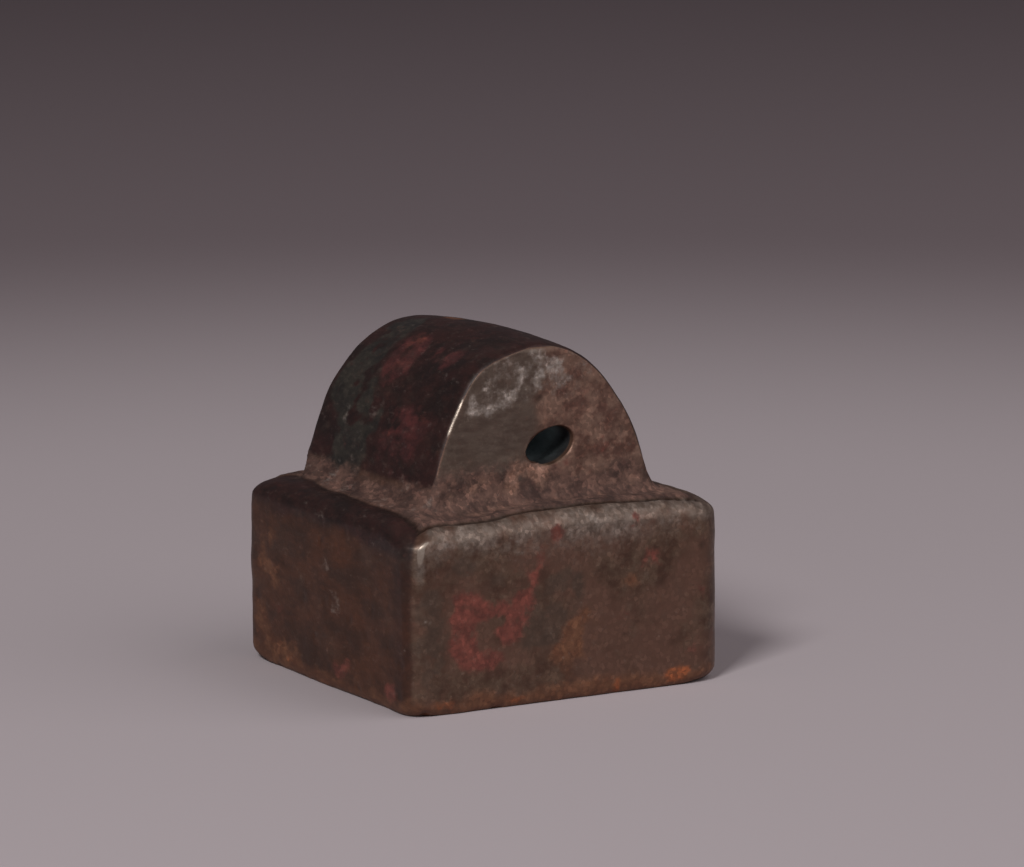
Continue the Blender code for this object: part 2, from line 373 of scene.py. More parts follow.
def pull_to_oval():
    """How far each point of an end face moves in x and z so that the left-out block becomes the oval.

    A point's place in the block, (p, q) from -1 to 1, gives its square distance s, the larger of
    the two, and its angle. On the block's edge, s = 1, it moves all the way, and farther out less.
    """
    row_index = np.arange(len(rows))[:, None]
    column_index = np.arange(SIDE_CELLS + 1)[None, :]
    p = (column_index - hole_column) / cells_across
    q = (row_index - hole_row) / cells_up
    s = np.maximum(np.maximum(np.abs(p), np.abs(q)), 1e-9)
    a, b = p / s, q / s
    sideways = np.where(a > 0, math.pi / 4 * b, math.pi - math.pi / 4 * b)
    upward = np.where(b > 0, math.pi / 2 - math.pi / 4 * a, -math.pi / 2 + math.pi / 4 * a)
    angle = np.where(np.abs(a) >= np.abs(b), sideways, upward)
    at_row = hole_row + b * cells_up
    at_column = hole_column + a * cells_across
    edge_z = np.interp(at_row, np.arange(len(rows)), rows[:, 4])
    edge_x = np.interp(at_column, np.arange(SIDE_CELLS + 1), lines_x)
    edge_x = edge_x * np.interp(at_row, np.arange(len(rows)), rows[:, 0])
    oval_x, oval_z = oval(angle)
    reach = HOLE_FADE + HOLE_FADE_UP * np.sin(angle)
    weight = 1 - soft_step(s, 1.0, reach)
    return (oval_x - edge_x) * weight, (oval_z - edge_z) * weight


front_columns = (3 * SIDE_CELLS + np.arange(SIDE_CELLS + 1)) % (4 * SIDE_CELLS)
back_columns = 2 * SIDE_CELLS - np.arange(SIDE_CELLS + 1)
shift_x, shift_z = pull_to_oval()
for columns in (front_columns, back_columns):
    points[:, columns, 0] += shift_x
    points[:, columns, 2] += shift_z
print("left out", 2 * cells_across, "by", 2 * cells_up, "cells for the hole")

# %% [markdown]
# The underside is a second grid whose edge points are the first row's own. In the middle its lines run
# straight, along the strokes, and towards the edge its corners are bent more and more.

# %% Number the points and join them into faces
SOLE_BEND_START = 0.86
TUBE_RINGS = 84

row_count, loop_count = points.shape[:2]
grid_ids = np.arange(row_count * loop_count).reshape(row_count, loop_count)
# The last row is pinched to the ridge: its left half is its right half, and its ends are single points.
ridge = grid_ids[-1]
ridge[SIDE_CELLS:2 * SIDE_CELLS] = ridge[SIDE_CELLS]
ridge[2 * SIDE_CELLS:3 * SIDE_CELLS] = ridge[SIDE_CELLS:0:-1]
ridge[3 * SIDE_CELLS:] = ridge[0]


def sole_points():
    """The underside's points: rings of the square grid, each with its corners bent by its own radius."""
    x, y = np.meshgrid(lines_x, lines_y, indexing="ij")
    level = np.maximum(np.maximum(np.abs(x), np.abs(y)), 1e-9)
    radius = FOOT_CORNER_RADIUS * soft_step(level, SOLE_BEND_START, 1.0)
    radius = np.where((x < 0) & (y < 0), CORNER_WEAR_FOOT, 1.0) * radius
    flat_x, flat_y = round_corners(x * sole_x, y * sole_y, level * sole_x, level * sole_y, radius)
    return np.stack([flat_x, flat_y, np.zeros_like(flat_x)], axis=2)


def quads_of(ids):
    """Four corners of every cell of an id grid, in the order that faces out on the wall."""
    cells = np.stack([ids[:-1, :-1], ids[:-1, 1:], ids[1:, 1:], ids[1:, :-1]], axis=2)
    return cells.reshape(-1, 4)


all_points = [points.reshape(-1, 3)]
next_id = row_count * loop_count
sole = sole_points()
sole_ids = next_id + np.arange(sole.shape[0] * sole.shape[1]).reshape(sole.shape[:2])
next_id += sole_ids.size
all_points.append(sole.reshape(-1, 3))
sole_ids[:, 0] = grid_ids[0, front_columns]
sole_ids[:, -1] = grid_ids[0, back_columns]
sole_ids[-1, :-1] = grid_ids[0, :SIDE_CELLS]
sole_ids[0, 1:] = grid_ids[0, 3 * SIDE_CELLS - 1:2 * SIDE_CELLS - 1:-1]

closed_ids = np.concatenate([grid_ids, grid_ids[:, :1]], axis=1)
keep = np.ones((row_count - 1, loop_count), dtype=bool)
for middle in (3 * SIDE_CELLS + hole_column, 2 * SIDE_CELLS - hole_column):
    hole_rows = slice(hole_row - cells_up, hole_row + cells_up)
    keep[hole_rows, middle - cells_across:middle + cells_across] = False
wall_quads = quads_of(closed_ids)[keep.ravel()]

around = np.arange(-cells_across, cells_across)
upward = np.arange(-cells_up, cells_up)
right_side, top_side = 0 * upward + cells_across, 0 * around + cells_up
edge_columns = np.concatenate([around, right_side, -around, -right_side]) + hole_column
edge_rows = np.concatenate([-top_side, upward, top_side, -upward]) + hole_row
front_edge = grid_ids[edge_rows, front_columns[edge_columns]]
back_edge = grid_ids[edge_rows, back_columns[edge_columns]]
along = np.linspace(0, 1, TUBE_RINGS + 1)[1:-1, None, None]
tube = all_points[0][front_edge] * (1 - along) + all_points[0][back_edge] * along
tube_ids = next_id + np.arange(tube.shape[0] * tube.shape[1]).reshape(tube.shape[:2])
all_points.append(tube.reshape(-1, 3))
tube_ids = np.concatenate([front_edge[None], tube_ids, back_edge[None]])
tube_ids = np.concatenate([tube_ids, tube_ids[:, :1]], axis=1)

quads = np.concatenate([wall_quads, quads_of(sole_ids.T[::-1]), quads_of(tube_ids)])
pinched = quads[:, 2] == quads[:, 3]
triangles = quads[pinched][:, :3]
quads = quads[~pinched]
used, corners = np.unique(np.concatenate([quads.ravel(), triangles.ravel()]), return_inverse=True)
triangles = corners[quads.size:].reshape(-1, 3)
quads = corners[:quads.size].reshape(-1, 4)
skin = np.concatenate(all_points)[used]
in_sole = np.isin(used, sole_ids)
in_tube = np.isin(used, tube_ids)
print(len(skin), "points and", 2 * len(quads) + len(triangles), "triangles")

# %% [markdown]
# Relief pushes each point along its normal, the direction that the skin faces there. A point's
# normal is the sum of its faces' normals, and a face's normal is the cross product of its diagonals.

# %% Normals of the smooth skin


def face_normals(faces, places):
    """Normals with the length of twice each face's area: the cross product of the two diagonals."""
    corner = [places[faces[:, k]] for k in range(faces.shape[1])]
    if len(corner) == 3:
        return np.cross(corner[1] - corner[0], corner[2] - corner[0])
    return np.cross(corner[2] - corner[0], corner[3] - corner[1])


def skin_normals(places):
    """Unit normals of the points: the sum of their faces' normals, brought to length one."""
    total = np.zeros_like(places)
    for faces in (quads, triangles):
        facing = face_normals(faces, places)
        for k in range(faces.shape[1]):
            np.add.at(total, faces[:, k], facing)
    return total / np.maximum(np.linalg.norm(total, axis=1, keepdims=True), 1e-12)


normals = skin_normals(skin)
print("mean normal of the underside", normals[in_sole].mean(axis=0).round(2))

# %% [markdown]
# Two kinds of pattern make all the relief and most of the stains. Noise is a soft random wave of a
# chosen size. Speckles are single round spots, scattered one to a lattice cell: turned downward they
# are corrosion pits, and read as a mask they are flecks of colour.

# %% Noise and speckles
LATTICE = 40


def noise(places, cell, seed):
    """Soft waves from -1 to 1: random values at lattice points, blended with soft steps between them."""
    values = np.random.default_rng(seed).uniform(-1, 1, (LATTICE,) * 3)
    scaled = places / cell
    low = np.floor(scaled).astype(int)
    t = scaled - low
    t = t * t * (3 - 2 * t)
    total = np.zeros(len(places))
    for step in np.ndindex(2, 2, 2):
        weight = np.prod(np.where(step, t, 1 - t), axis=1)
        total += weight * values[tuple(((low + step) % LATTICE).T)]
    return total


def layered(places, cell, seed, layers=3):
    """Noise with finer noise on it: each layer has half the cell and half the height of the last."""
    return sum(noise(places, cell / 2 ** k, seed + k) / 2 ** k for k in range(layers))


def speckles(places, cell, small, large, share, seed):
    """Round spots from 0 to 1: the curve (1 - d^2)^2, where d is the distance over the spot's radius."""
    random = np.random.default_rng(seed)
    centres = random.uniform(0, 1, (LATTICE,) * 3 + (3,))
    radii = random.uniform(small, large, (LATTICE,) * 3)
    present = random.uniform(0, 1, (LATTICE,) * 3) < share
    low = np.floor(places / cell).astype(int)
    strongest = np.zeros(len(places))
    for step in np.ndindex(3, 3, 3):
        block = low + np.array(step) - 1
        index = tuple((block % LATTICE).T)
        offset = places - (block + centres[index]) * cell
        d = np.minimum(np.linalg.norm(offset, axis=1) / radii[index], 1)
        strongest = np.maximum(strongest, present[index] * (1 - d * d) ** 2)
    return strongest


print("a noise wave of the skin spans", np.ptp(noise(skin, 6.5, 1)).round(2))

# %% [markdown]
# Where things are on the seal decides how they look. The rim was rubbed bright and its band also carries
# a painted sheen, the ledge behind it kept its crust of earth and corrosion, the knob's near end is half
# smooth and half dry, and the barrel of the arch carries a dark film. That film also lays painted shade
# on the left rim, and the left face gets a darker brown that is partly painted shade. These zones are
# worked out from the points' own places.

# %% Zones of the seal
x, y, z = skin.T
nx, ny, _ = normals.T
on_block = (z < BLOCK_HEIGHT + 0.3) & ~in_tube
inset = np.minimum(BLOCK_WIDTH / 2 - np.abs(x), BLOCK_DEPTH / 2 - np.abs(y))
wobble = layered(skin, 3.0, 11)

# The crust ends in a wavy line just behind the rim: crisp and near to it at the front, soft at the sides.
front_or_back = soft_step(np.abs(y) - np.abs(x), -0.6, 0.6)
crust_start = 2.15 + 0.04 * y + 0.25 * wobble
crust_start = crust_start + (1.5 + 0.2 * wobble - crust_start) * front_or_back
crust_edge = 0.45 - 0.35 * front_or_back * (1 - soft_step(y, 0, 8))
crust_top = np.where(np.abs(ny) > 0.6, 13.9 + 0.3 * wobble, 13.35) + 0.5 * wobble
behind_rim = soft_step(inset, crust_start - crust_edge, crust_start + crust_edge) * (z > 11)
below_top = 1 - soft_step(z, crust_top - 1.1, crust_top + 1.1)
crust = behind_rim * below_top * ~in_tube

end_face = soft_step(-ny, 0.75, 0.95) * (z > 12.5) * (y < 0) * ~in_tube
back_face = soft_step(ny, 0.75, 0.95) * (z > 12.5) * (y > 0) * ~in_tube
barrel = soft_step(1 - np.abs(ny), 0.12, 0.35) * soft_step(z, 12.9, 13.8) * ~in_tube
left_side = soft_step(-x - np.abs(y), -0.6, 0.3)
film_low = 10.3 - 0.7 * soft_step(-y, 4.0, 10.5) + 0.4 * wobble
# The dark band along the left rim is partly painted shade and partly the barrel's dark film. The near end of
# the left face is darkened towards the front with the same film.
left_rim = left_side * soft_step(z, film_low - 0.9, film_low + 0.9) * (1 - behind_rim) * on_block
near_shade = 0.45 * left_side * soft_step(-y, 7.5, 10.0) * on_block
film = np.maximum.reduce([barrel, left_rim, near_shade])
# The left face below the rim is drawn a darker brown: partly its own colour and partly painted shade on that
# side.
brown_and_shaded_side = soft_step(-x - np.abs(y), -0.5, 0.5) * (z < 11.5) * on_block * (0.85 + 0.3 * wobble)
right_half = soft_step(x + 1.2 * wobble, -0.9, 1.6)
dry = np.maximum(end_face * right_half, back_face * soft_step(wobble, -0.5, 0.8) * 0.8)
smooth_end = end_face * (1 - right_half) * soft_step(z + 0.6 * wobble, 12.8, 14.2)
print("crust covers", round(100 * float(np.mean(crust > 0.5)), 1), "percent of the points")

# %% [markdown]
# The relief itself, in millimetres. Long waves make the faces less than flat. The crust stands a
# little proud and is granular, with a narrow gap along its edge. Pits of two sizes are sunk into
# everything, fewer into the rubbed rim. The foot has small chips, and the hole's mouths are rounded.

# %% Relief
LONG_WAVE = 0.09
SHORT_WAVE = 0.03
CRUST_HEIGHT = 0.14
CRUST_GRAIN = 0.06
CRUST_GAP = 0.16
PIT_DEPTH = 0.09
PINHOLE_DEPTH = 0.05
CHIP_DEPTH = 0.15
MOUTH_ROUND = 0.3
MOUTH_DEPTH = 0.1

large_pits = speckles(skin, 1.7, 0.25, 0.65, 0.45, 21)
clustered = soft_step(layered(skin, 2.6, 25), -0.5, 0.9)
pinholes = speckles(skin, 0.75, 0.13, 0.33, 0.6, 22) * clustered
gap_power = 0.15 + 0.85 * np.maximum(front_or_back, soft_step(-y, 4.5, 7.5))
gap_power = gap_power * (1 - 0.8 * soft_step(y, 0, 8))
gap = bell(inset, crust_start - 0.12, 0.17) * on_block * (z > 11.3) * gap_power
foot_edge = bell(z, 0.1, 0.6) * (inset < 0.9) * on_block
chips = speckles(skin, 1.5, 0.35, 0.8, 0.35, 23) * foot_edge
grain = layered(skin, 0.9, 24, 2)


def mouth_distance():
    """Distance in mm from the edge of either mouth of the hole: over the end face, or down the hole."""
    from_x, from_z = x - HOLE_CENTRE[0], z - HOLE_CENTRE[1]
    wide = (from_x * math.cos(HOLE_TILT) + from_z * math.sin(HOLE_TILT)) / (HOLE_WIDTH / 2)
    high = (from_z * math.cos(HOLE_TILT) - from_x * math.sin(HOLE_TILT)) / (HOLE_HEIGHT / 2)
    over_face = (np.hypot(wide, high) - 1) * (HOLE_WIDTH + HOLE_HEIGHT) / 4
    down_hole = KNOB_HALF_DEPTH - np.abs(y - KNOB_MIDDLE_Y)
    return np.hypot(over_face, down_hole)


mouth = bell(mouth_distance(), 0, MOUTH_ROUND) * (z > 13)
relief = LONG_WAVE * layered(skin, 6.5, 31) + SHORT_WAVE * layered(skin, 1.6, 32)
relief += crust * CRUST_HEIGHT + (crust + 0.5 * dry) * CRUST_GRAIN * grain
relief -= CRUST_GAP * gap
relief -= PIT_DEPTH * large_pits * (0.35 + 0.65 * soft_step(wobble, -0.8, 0.6))
relief -= PINHOLE_DEPTH * pinholes + CHIP_DEPTH * chips + MOUTH_DEPTH * mouth
print("relief from", relief.min().round(2), "to", relief.max().round(2), "mm")

# %% [markdown]
# The carving is a depth, not a cut. For each point of the underside, the distance to the nearest
# stroke is the largest of its four distances past the stroke's sides. Where that is negative the point
# lies in a stroke, and it is lifted by the carving's depth.

# %% Carve the underside


def carved(places):
    """1 inside a stroke or the frame line and 0 outside, with a soft step as wide as the wall."""
    px, py = places[:, :1], places[:, 1:2]
    low_x, high_x, low_y, high_y = strokes
    past = np.maximum(np.maximum(low_x - px, px - high_x), np.maximum(low_y - py, py - high_y))
    px, py = np.abs(px[:, 0]), np.abs(py[:, 0])
    outside = np.maximum(px - frame_x, py - frame_y)
    inside = np.minimum(frame_x - FRAME_LINE - px, frame_y - FRAME_LINE - py)
    distance = np.minimum(past.min(axis=1), np.maximum(outside, inside))
    return 1 - soft_step(distance, -EDGE_SPREAD, EDGE_SPREAD)


carving = carved(skin) * in_sole
shaped = skin + relief[:, None] * normals
SOLE_WEAR = 0.06
SOLE_PIT_DEPTH = 0.08
SOLE_PINHOLE_DEPTH = 0.04
worn_sole = SOLE_WEAR * soft_step(layered(skin, 4.0, 41), -0.2, 1.0)
sole_height = CARVING_DEPTH * carving + worn_sole
sole_height += SOLE_PINHOLE_DEPTH * pinholes + SOLE_PIT_DEPTH * large_pits
# The underside and its rim never go below the surface that the seal stands on.
shaped[in_sole] = skin[in_sole] + np.outer(sole_height[in_sole], [0, 0, 1])
shaped[:, 2] = np.maximum(shaped[:, 2], 0)
print("carving reaches", shaped[in_sole, 2].max().round(2), "mm up")

# %% [markdown]
# Stains. Each kind of corrosion on the real seal has its own colour and its own places: red copper
# oxide in broad patches, orange iron rust along the foot, a whitish mineral bloom, dark olive copper
# salts. A stain is a few soft spots, listed where the photo shows it. Where spots lie close their
# strengths add up, so they run together into one patch, and noise frays its edge.

# %% Stains, listed spot by spot
END_Y = KNOB_MIDDLE_Y - KNOB_HALF_DEPTH
# A flat side of the seal: its axis, its place along that axis, and how deep its spots reach there.
FRONT = 1, cad_low[1], 1.5
LEFT = 0, cad_low[0], 1.5
END = 1, END_Y, 1.0


def on_side(side, rows):
    """Full spots from short rows: place along the side, height, reach along it and up, strength."""
    axis, level, depth = side
    spots = []
    for along, up, wide, high, strength in rows:
        centre, reach = [along, up], [wide, high]
        centre.insert(axis, level)
        reach.insert(axis, depth)
        spots.append((centre, reach, strength))
    return spots


def stains(spots, seed, frayed=0.9):
    """Patches from 0 to 1: the spots' bell curves are added, multiplied by noise and cut by a soft step.

    A spot is its centre, its reach along each axis and its strength. A negative one makes a gap.
    """
    total = np.zeros(len(skin))
    for centre, reach, strength in spots:
        total += strength * bell(np.linalg.norm((skin - centre) / np.array(reach), axis=1), 0, 1)
    return soft_step(total * (1 + frayed * layered(skin, 1.1, seed)), 0.1, 0.8)


cuprite_spots = on_side(FRONT, [
    (-7.6, 6.9, 1.1, 0.9, 0.8), (-7.9, 5.4, 1, 1.5, 0.9), (-7.4, 3.9, 1, 1, 0.8),
    (-6.2, 3.1, 1.5, 0.8, 0.8), (-4.7, 5.1, 1.5, 1.2, 0.95), (-6.1, 6.3, 1, 0.6, 0.6),
    (-6.4, 4.9, 0.3, 0.7, -0.8), (-5.6, 6, 1.1, 0.8, 0.5), (-3.2, 6.9, 1.1, 1, 0.55),
    (-2.8, 8.2, 1.1, 1.1, 0.6), (-2.2, 9.6, 1, 0.9, 0.3), (-0.9, 10.7, 0.55, 0.55, 1.4),
    (0.8, 4.6, 0.8, 0.8, 0.35), (5.8, 8.5, 1.2, 0.8, 0.5), (4.7, 10.95, 0.5, 0.5, 1.4),
    (3.9, 5.1, 1, 0.7, 0.3), (9.5, 5.8, 0.6, 0.9, 0.35), (9.1, 2.3, 1.1, 0.9, 0.35),
    (-10.4, 2.1, 0.8, 0.7, 0.3),
]) + on_side(LEFT, [
    (-9.1, 1.3, 1, 0.9, 0.7), (-2.5, 1.5, 1.3, 0.9, 0.55),
]) + on_side(END, [
    (4.6, 16.3, 0.5, 1, 0.3), (3.2, 19, 0.9, 0.6, 0.3),
]) + [
    ((-7.1, -0.6, 16.2), (0.8, 0.7, 0.7), 0.4), ((-3.7, -2.4, 21), (0.9, 1.3, 0.9), 0.25),
    ((-3.3, 2.3, 21.2), (1.2, 1.2, 1), 0.5), ((-5, 1.4, 19.6), (1.1, 1.2, 1), 0.35),
    ((-6.6, -4, 17.4), (1.1, 1.4, 0.7), 0.45),
]
red_film_spots = on_side(LEFT, [
    (-6.1, 7.5, 1.2, 3, 0.25), (6, 3.9, 2, 2, 0.3),
]) + [
    ((-3.7, -2.4, 21), (1.4, 1.9, 1.4), 0.8), ((-4.9, 1.7, 19.8), (1.5, 1.9, 1.8), 0.7),
    ((-3.5, 2.2, 21.1), (1.3, 1.6, 1.3), 0.7), ((-7.1, -0.6, 16.2), (1.2, 1.2, 1.2), 0.9),
    ((-6.7, -3.1, 17.1), (1.2, 2, 1), 0.8), ((-7.3, -3.5, 15), (1.6, 3.2, 2), 0.5),
]
ochre_spots = on_side(FRONT, [
    (0.3, 3.8, 1.8, 1.4, 0.45), (-0.7, 2.3, 1.6, 1.4, 0.45), (0.8, 5.3, 1.4, 1.3, 0.3),
    (4.5, 6.9, 1.6, 0.9, 0.4), (6.5, 5.4, 1.8, 1.2, 0.25), (9.5, 4.4, 0.8, 1.2, 0.3),
]) + on_side(LEFT, [
    (7.3, 8.6, 1.7, 1.5, 0.45), (7.4, 6.2, 2, 2, 0.4), (9, 3.6, 1.5, 2, 0.45),
    (5.4, 1.4, 2.4, 1, 0.7), (-4, 1.2, 3, 1, 0.4),
]) + [
    ((0.2, 3.6, 22.3), (0.8, 1.5, 0.5), 0.5),
]
rust_spots = on_side(FRONT, [
    (8, 0.85, 0.9, 0.5, 0.85), (7.3, 0.6, 0.6, 0.4, 0.5), (3.3, 0.6, 0.35, 0.6, 0.7),
    (4.7, 1, 0.9, 0.4, 0.3), (-4.2, 0.45, 1.4, 0.4, 0.5), (-9.4, 0.7, 1.4, 0.45, 0.5),
]) + on_side(LEFT, [
    (5, 0.9, 1.6, 0.6, 0.35),
]) + on_side(END, [
    (0.8, 17.1, 0.8, 0.5, 0.35), (5.1, 17.2, 0.5, 0.8, 0.3),
]) + [
    ((0.2, 4, 22.3), (0.6, 1, 0.4), 0.3), ((4.7, END_Y - 0.8, 12.2), (2, 1, 0.5), 0.3),
]
olive_spots = on_side(FRONT, [
    (-10, 6, 1.3, 3.2, 0.7), (-10, 2.8, 1.3, 2, 0.55), (-2.3, 4.9, 1.7, 1.9, 0.9),
    (-0.5, 6.7, 1.6, 1.7, 0.9), (-7.7, 9.3, 1.2, 0.8, 0.6), (-5.2, 8.2, 1.8, 1.2, 0.5),
]) + on_side(LEFT, [
    (3.1, 6.4, 1.2, 3.2, 0.3),
]) + on_side(END, [
    (5.7, 13.6, 1.1, 1.6, 0.6),
])
deep_olive_spots = [
    ((-4.8, 5.8, 19.9), (1.9, 2, 2), 0.8), ((-6.2, 6, 18.2), (1.8, 2, 1.8), 0.7),
    ((-6.9, 3, 16.8), (1.8, 2.6, 1.8), 0.6), ((-7.6, 4, 14.8), (1.8, 2.6, 1.6), 0.6),
    ((-7.9, 3.7, 13.1), (1.4, 2.2, 0.8), 0.7), ((-2.3, 5.7, 21.8), (1.6, 2, 1), 0.7),
]
tan_spots = on_side(END, [
    (2.6, 17.6, 1.4, 1, 0.25),
]) + [
    ((-1.7, END_Y, 14.2), (1.2, 1.2, 0.9), 0.8), ((-3.6, END_Y, 13.2), (2.4, 1.5, 0.8), 0.75),
    ((0.6, END_Y, 13.5), (1.6, 1.2, 0.8), 0.6), ((-3.5, -9.4, 12), (3.2, 1, 0.6), 0.3),
    ((2.2, -9.2, 12.2), (2.4, 1, 0.6), 0.35),
]
bloom_spots = on_side(LEFT, [
    (-0.5, 7.8, 0.6, 0.8, 0.9), (-1.9, 5.5, 0.6, 0.8, 0.9), (0.7, 11, 1.2, 0.4, 0.4),
]) + on_side(END, [
    (-2.3, 19.7, 1.5, 1, 0.95), (-3.2, 18.9, 1.3, 0.9, 0.95), (-4.2, 18.4, 1.1, 1.1, 0.7),
    (-0.2, 20.2, 1.4, 1, 0.5), (-1.7, 20.6, 1.8, 1, 0.3), (1.6, 20.5, 2.2, 1, 0.3),
]) + [
    ((-5.8, 4, 18.7), (1, 1.2, 1), 0.35), ((-6.5, 5.1, 17.6), (1, 1.2, 1), 0.35),
    ((-6.6, 1.8, 17.3), (1.2, 1.3, 0.9), 0.35), ((-7.1, 4.7, 16.3), (0.9, 0.9, 0.8), 0.35),
    ((-6.5, 0, 17.5), (0.8, 0.8, 0.7), 0.3), ((-5, -4.6, 19.8), (1.1, 1.1, 0.9), 0.25),
]
scattered = layered(skin, 4.2, 51)
hidden = np.maximum(soft_step(nx, 0.3, 0.7), soft_step(ny, 0.3, 0.7))
cuprite = np.maximum(stains(cuprite_spots, 52), 0.8 * hidden * soft_step(scattered, 0.4, 1.0))
cuprite = np.maximum(cuprite, 0.4 * speckles(skin, 1.9, 0.2, 0.6, 0.35, 53) * on_block * (1 - left_side))
cuprite = np.maximum(cuprite, 0.4 * dry * soft_step(layered(skin, 0.9, 72), 0.3, 1.0))
foot_film = 0.95 * soft_step(1.8 + 0.6 * layered(skin, 2.2, 57) - z, 0.0, 1.6) * on_block
foot_rust = hidden * soft_step(layered(skin, 3.1, 55) - z / 3, 0.1, 0.9)
ochre = np.maximum(stains(ochre_spots, 60), foot_film)
rust = np.maximum(stains(rust_spots, 54), 0.8 * foot_rust)
olive = np.maximum(stains(olive_spots, 56), hidden * soft_step(-scattered, 0.4, 1.0))
red_film = stains(red_film_spots, 67)
deep_olive = stains(deep_olive_spots, 68)
tan_patches = 0.5 * np.maximum(crust, 0.5 * dry) * soft_step(layered(skin, 1.3, 70), 0.1, 1.0)
tan_patches = tan_patches * (1 - 0.7 * np.maximum(left_side, soft_step(-x, 6.5, 9.0)))
tan = np.maximum(stains(tan_spots, 69), tan_patches)
crumbled = soft_step(layered(skin, 0.7, 59), -0.4, 0.8)
bloom = stains(bloom_spots, 58) * (0.3 + 0.7 * crumbled)
bloom = np.maximum(bloom, 0.35 * crust * left_side * soft_step(layered(skin, 1.1, 71), -0.1, 0.9))
print("red copper oxide on", round(100 * float(np.mean(cuprite > 0.5)), 1), "percent of the points")

# %% [markdown]
# Wear follows touch. Fingers polish what stands proud: the rim's outer round, the block's upright
# corners, the edges of the arch. Those zones are found from the inset and the height, and broken up
# by noise so that the shine comes and goes. The rim's pale band is also a painted sheen of the wide
# soft box, and the near corner and the left crown edge carry painted highlights of the small key.
# Pale flecks are crumbs of mineral caught in the pits.

# %% Worn metal and pale flecks
# The rim's pale band is partly rubbed metal and partly a painted sheen of the wide soft box: it is strongest
# on the front, and its brightness is shaped along the rim.
band_low = 8.5 - 0.7 * bell(x, 2.0, 3.5) + 0.7 * soft_step(x, 5.0, 8.0)
band_power = 0.9 + 0.3 * bell(x, -7.5, 3.0) + 0.2 * bell(x, 2.6, 2.5) - 0.2 * bell(x, -1.6, 1.1)
rim_wear_and_sheen = band_power * soft_step(z + 0.5 * wobble, band_low, 11.8) * (1 - behind_rim) * on_block
rim_wear_and_sheen *= (0.3 + 0.7 * soft_step(-ny, 0.0, 0.3)) * (1 - soft_step(-x - np.abs(y), -1.2, -0.4))
# The near edge is where the skin faces half to the left and half to the front, seen from above.
level_length = np.hypot(nx, ny)
near_edge = bell(nx / np.maximum(level_length, 0.01), -0.45, 0.2) * soft_step(level_length, 0.6, 0.85)
near_edge = near_edge * soft_step(-ny, 0.3, 0.5) * on_block * (0.05 + 0.95 * soft_step(z, 7.8, 9.2))
other_edges = soft_step(np.abs(nx * ny), 0.3, 0.5) * on_block * (0.3 + 0.3 * wobble) * (x > 0)
down_hole = KNOB_HALF_DEPTH - np.abs(y - KNOB_MIDDLE_Y)
# The left crown edge between these heights is partly worn and partly a painted highlight of the small key
# light.
crown_edge = soft_step(-down_hole, -0.3, -0.1) * bell(np.abs(ny), 0.62, 0.25) * ~in_tube
crown_edge = crown_edge * between(z, 16.2, 17.2, 18.6, 19.4) * (x < 0)
# The worn zone is rubbed metal, with the rim's painted sheen and the crown edge's painted highlight in it.
worn = np.clip(rim_wear_and_sheen * (0.85 + 0.5 * layered(skin, 1.2, 63)), 0, 1)
worn = np.maximum.reduce([worn, near_edge, other_edges]) * (1 - crust)
worn = np.maximum(worn, 0.8 * crown_edge)
flecks = 0.45 * speckles(skin, 0.7, 0.12, 0.3, 0.4, 61) * soft_step(layered(skin, 3.5, 62), 0.1, 0.9)
pale_end = end_face * bell(z, 20.6, 1.6) * bell(x, -0.5, 5.0) * soft_step(layered(skin, 1.2, 64), -0.6, 0.8)
# Pale patches in the rim band are part of its painted sheen.
pale_rim_and_sheen = rim_wear_and_sheen * soft_step(layered(skin, 0.9, 65), 0.0, 1.0)
pale_edge = 0.2 * near_edge * soft_step(z, 8.6, 9.6)
pale = np.maximum.reduce([flecks, 0.8 * pale_end, 0.45 * pale_rim_and_sheen, bloom, pale_edge])
# Painted highlights: a narrow pale glossy streak at the top of the near corner, and the left crown edge.
painted_corner_highlight = soft_step(near_edge, 0.55, 0.9) * between(z, 9.0, 10.3, 11.3, 11.6)
painted_highlight = np.maximum(painted_corner_highlight, crown_edge)
pit = np.clip(0.7 * large_pits + 0.6 * pinholes + 1.3 * gap, 0, 1)
# Inside the hole: painted shade near each mouth, and deeper in a pale lining of painted light that stands in
# for the light seen through it.
inner = in_tube * soft_step(down_hole, 0.1, 0.7)
painted_hole_light = in_tube * soft_step(down_hole, 0.35, 3.8)
print("worn metal on", round(100 * float(np.mean(worn > 0.4)), 1), "percent of the points")

# %% [markdown]
# Now the mesh. The arrays go in with foreach_set, in metres, and each zone and stain becomes a float
# attribute on the points, which the material reads. The object sits at the origin, as the solid does.

# %% Make the mesh
zones = dict(
    crust=crust, dry=dry, smooth_end=smooth_end, film=film, brown_and_shaded_side=brown_and_shaded_side, red_film=red_film,
    deep_olive=deep_olive, tan=tan, cuprite=cuprite, ochre=ochre, rust=rust, olive=olive, worn=worn,
    painted_highlight=painted_highlight, pale=pale, pit=pit, inner=inner, painted_hole_light=painted_hole_light,
)


def make_mesh(name, places, attributes):
    """A smooth shaded mesh from the quads and triangles, with one float attribute for each zone."""
    mesh = bpy.data.meshes.new(name)
    totals = np.concatenate([np.full(len(quads), 4), np.full(len(triangles), 3)])
    mesh.vertices.add(len(places))
    mesh.vertices.foreach_set("co", (places * MM).ravel())
    mesh.loops.add(int(totals.sum()))
    mesh.loops.foreach_set("vertex_index", np.concatenate([quads.ravel(), triangles.ravel()]))
    mesh.polygons.add(len(totals))
    mesh.polygons.foreach_set("loop_start", np.concatenate([[0], np.cumsum(totals)[:-1]]))
    mesh.update(calc_edges=True)
    for zone, values in attributes.items():
        mesh.attributes.new(zone, "FLOAT", "POINT").data.foreach_set("value", values.astype(np.float32))
    mesh.shade_smooth()
    return mesh


